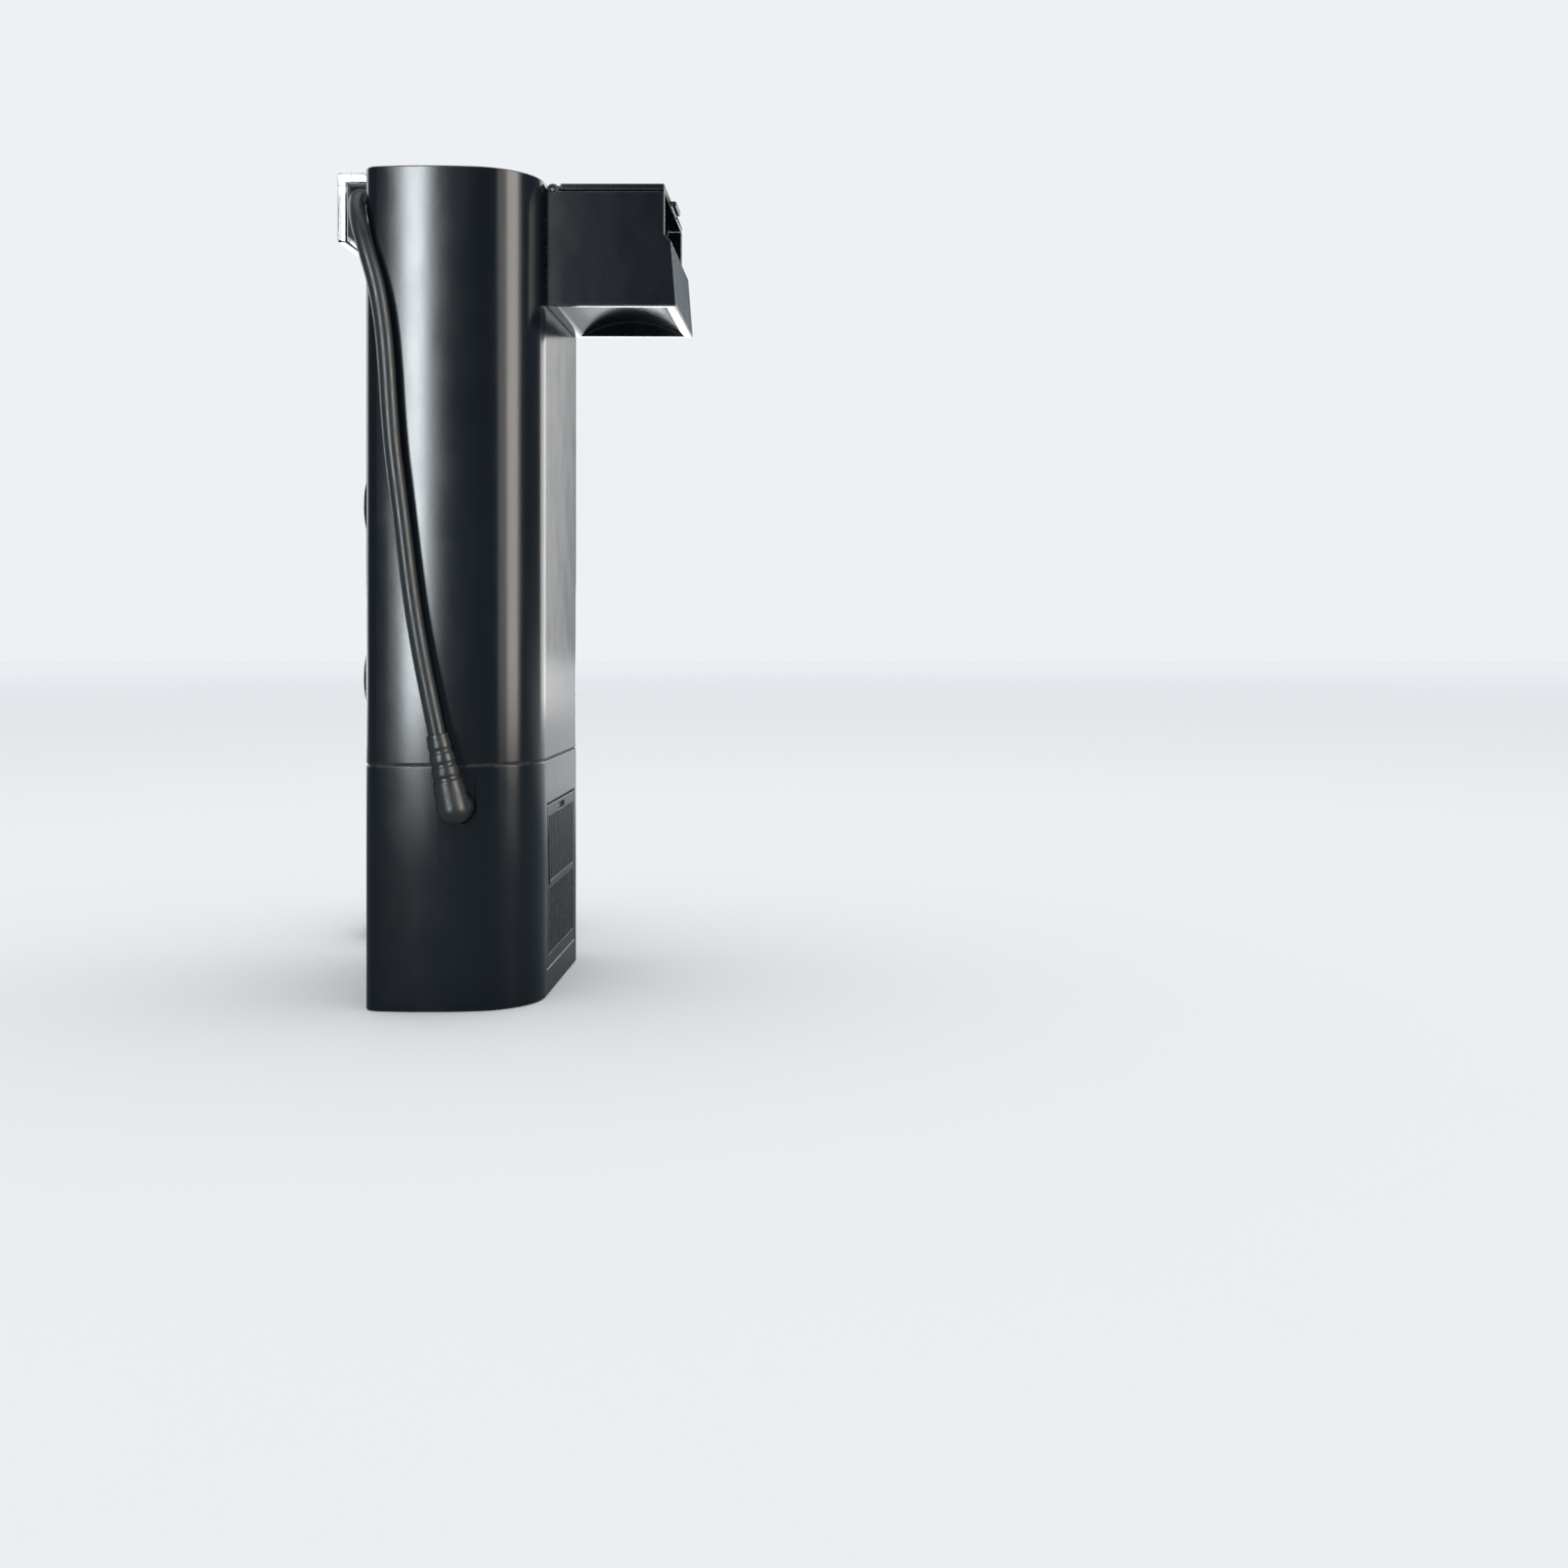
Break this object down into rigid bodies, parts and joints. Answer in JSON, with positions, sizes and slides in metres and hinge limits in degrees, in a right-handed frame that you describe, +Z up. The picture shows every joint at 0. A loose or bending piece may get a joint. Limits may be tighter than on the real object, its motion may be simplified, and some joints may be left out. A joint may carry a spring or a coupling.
{
  "type": "hang-on aquarium filter",
  "caption": "Tall gloss-black filter column that hangs inside a tank: pump below, lift-out media above, waterfall spout on top.",
  "frame": {"origin": "centre of the column's flat base, on the surface it stands on", "axes": "+Z up the column, +X from the pane side towards the spout, Y along the tank's pane"},
  "size_m": [0.1251, 0.2131, 0.2536],
  "materials": {
    "housing_gloss": "high gloss moulded black, fine vertical flow lines, light wear at the edges",
    "casing_gloss": "high gloss moulded black",
    "spout_gloss": "gloss moulded black",
    "lid_satin": "satin fine-grained black",
    "trim_satin": "satin moulded black",
    "pump_plastic": "fine spark-eroded grain, dark grey",
    "basket_smoke": "smoke grey moulded plastic",
    "ceramic_white": "unglazed porous, off-white",
    "shaft_ceramic": "ground ceramic",
    "carbon": "granular activated carbon",
    "foam_blue": "open-cell filter foam, blue",
    "foam_black": "coarse open-cell filter foam, black",
    "rubber_black": "soft black rubber",
    "cup_rubber": "smooth dark silicone",
    "cord_black": "smooth satin PVC jacket, black",
    "bracket_clear": "clear moulded acrylic, polished",
    "magnet": "sintered ferrite, dark grey",
    "impeller_white": "white acetal",
    "dial_red": "signal red satin",
    "steel": "stainless steel",
    "pin_dark": "dark stainless steel",
    "lamination": "stacked lamination sheets",
    "copper": "enamelled copper wire",
    "plug_brass": "plated brass"
  },
  "bodies": {
    "column": {"main_housing": "housing_gloss", "lower_casing": "casing_gloss", "seam_gasket": "rubber_black", "chamber_floor": "basket_smoke", "casing_screws": "steel", "spout_trough": "spout_gloss", "spout_hinge_pin": "pin_dark", "weir_comb": "spout_gloss", "motor_can": "pump_plastic", "motor_end_cap": "pump_plastic", "stator_core": "lamination", "coil_windings": "copper", "inner_lead": "cord_black", "pump_feet": "rubber_black", "impeller_shaft": "shaft_ceramic", "shaft_bush_rear": "rubber_black", "shaft_bush_front": "rubber_black", "volute": "pump_plastic", "volute_cover": "pump_plastic", "outlet_oring": "rubber_black", "suction_cup_upper": "cup_rubber", "suction_cup_lower": "cup_rubber", "cable_gland": "cord_black", "cord_clips": "trim_satin", "power_cord": "cord_black", "cord_coil": "cord_black", "cord_tail": "cord_black", "cord_tie": "trim_satin", "plug_body": "cord_black", "plug_pins": "plug_brass"},
    "media_cartridge": {"media_basket": "basket_smoke", "basket_lid": "lid_satin", "tier_divider_lower": "basket_smoke", "tier_divider_upper": "basket_smoke", "ceramic_rings": "ceramic_white", "carbon_cassette": "basket_smoke", "carbon_fill": "carbon", "foam_block": "foam_blue"},
    "handle": {"lift_handle": "lid_satin"},
    "cover": {"spout_cover": "spout_gloss"},
    "rotor": {"rotor_magnet": "magnet", "impeller": "impeller_white"},
    "dial": {"flow_dial": "dial_red"},
    "strainer": {"intake_strainer": "trim_satin", "prefilter_foam": "foam_black"},
    "hanger": {"hanger_bracket": "bracket_clear", "rim_pad": "rubber_black"},
    "pad": {"level_pad": "cup_rubber"},
    "screw": {"level_screw": "trim_satin"}
  },
  "joints": [
    {"name": "cartridge_lift", "type": "slide", "parent": "column", "child": "media_cartridge", "axis": [0, 0, 1], "range_m": [0, 0.17]},
    {"name": "handle_fold", "type": "hinge", "parent": "media_cartridge", "child": "handle", "pos_m": [-0.01, 0, 0.2424], "axis": [0, -1, 0], "range_deg": [0, 90]},
    {"name": "cover_hinge", "type": "hinge", "parent": "column", "child": "cover", "pos_m": [0.027, 0, 0.2442], "axis": [0, -1, 0], "range_deg": [0, 90]},
    {"name": "rotor_spin", "type": "hinge", "parent": "column", "child": "rotor", "pos_m": [-0.0015, 0, 0.028], "axis": [0, 1, 0], "continuous": true},
    {"name": "dial_turn", "type": "hinge", "parent": "column", "child": "dial", "pos_m": [-0.0015, 0.016, 0.028], "axis": [0, 1, 0], "range_deg": [0, 30]},
    {"name": "strainer_pull", "type": "slide", "parent": "column", "child": "strainer", "axis": [1, 0, 0], "range_m": [0, 0.035]},
    {"name": "hanger_height", "type": "slide", "parent": "column", "child": "hanger", "axis": [0, 0, 1], "range_m": [0, 0.02]},
    {"name": "pad_travel", "type": "slide", "parent": "column", "child": "pad", "axis": [-1, 0, 0], "range_m": [-0.0015, 0.00375]},
    {"name": "screw_turn", "type": "hinge", "parent": "pad", "child": "screw", "pos_m": [-0.03, 0, 0.058], "axis": [-1, 0, 0], "range_deg": [-361, 901]}
  ],
  "couplings": [
    {"joint": "screw_turn", "follows": "pad_travel", "rad_per_m": 4188.8}
  ]
}
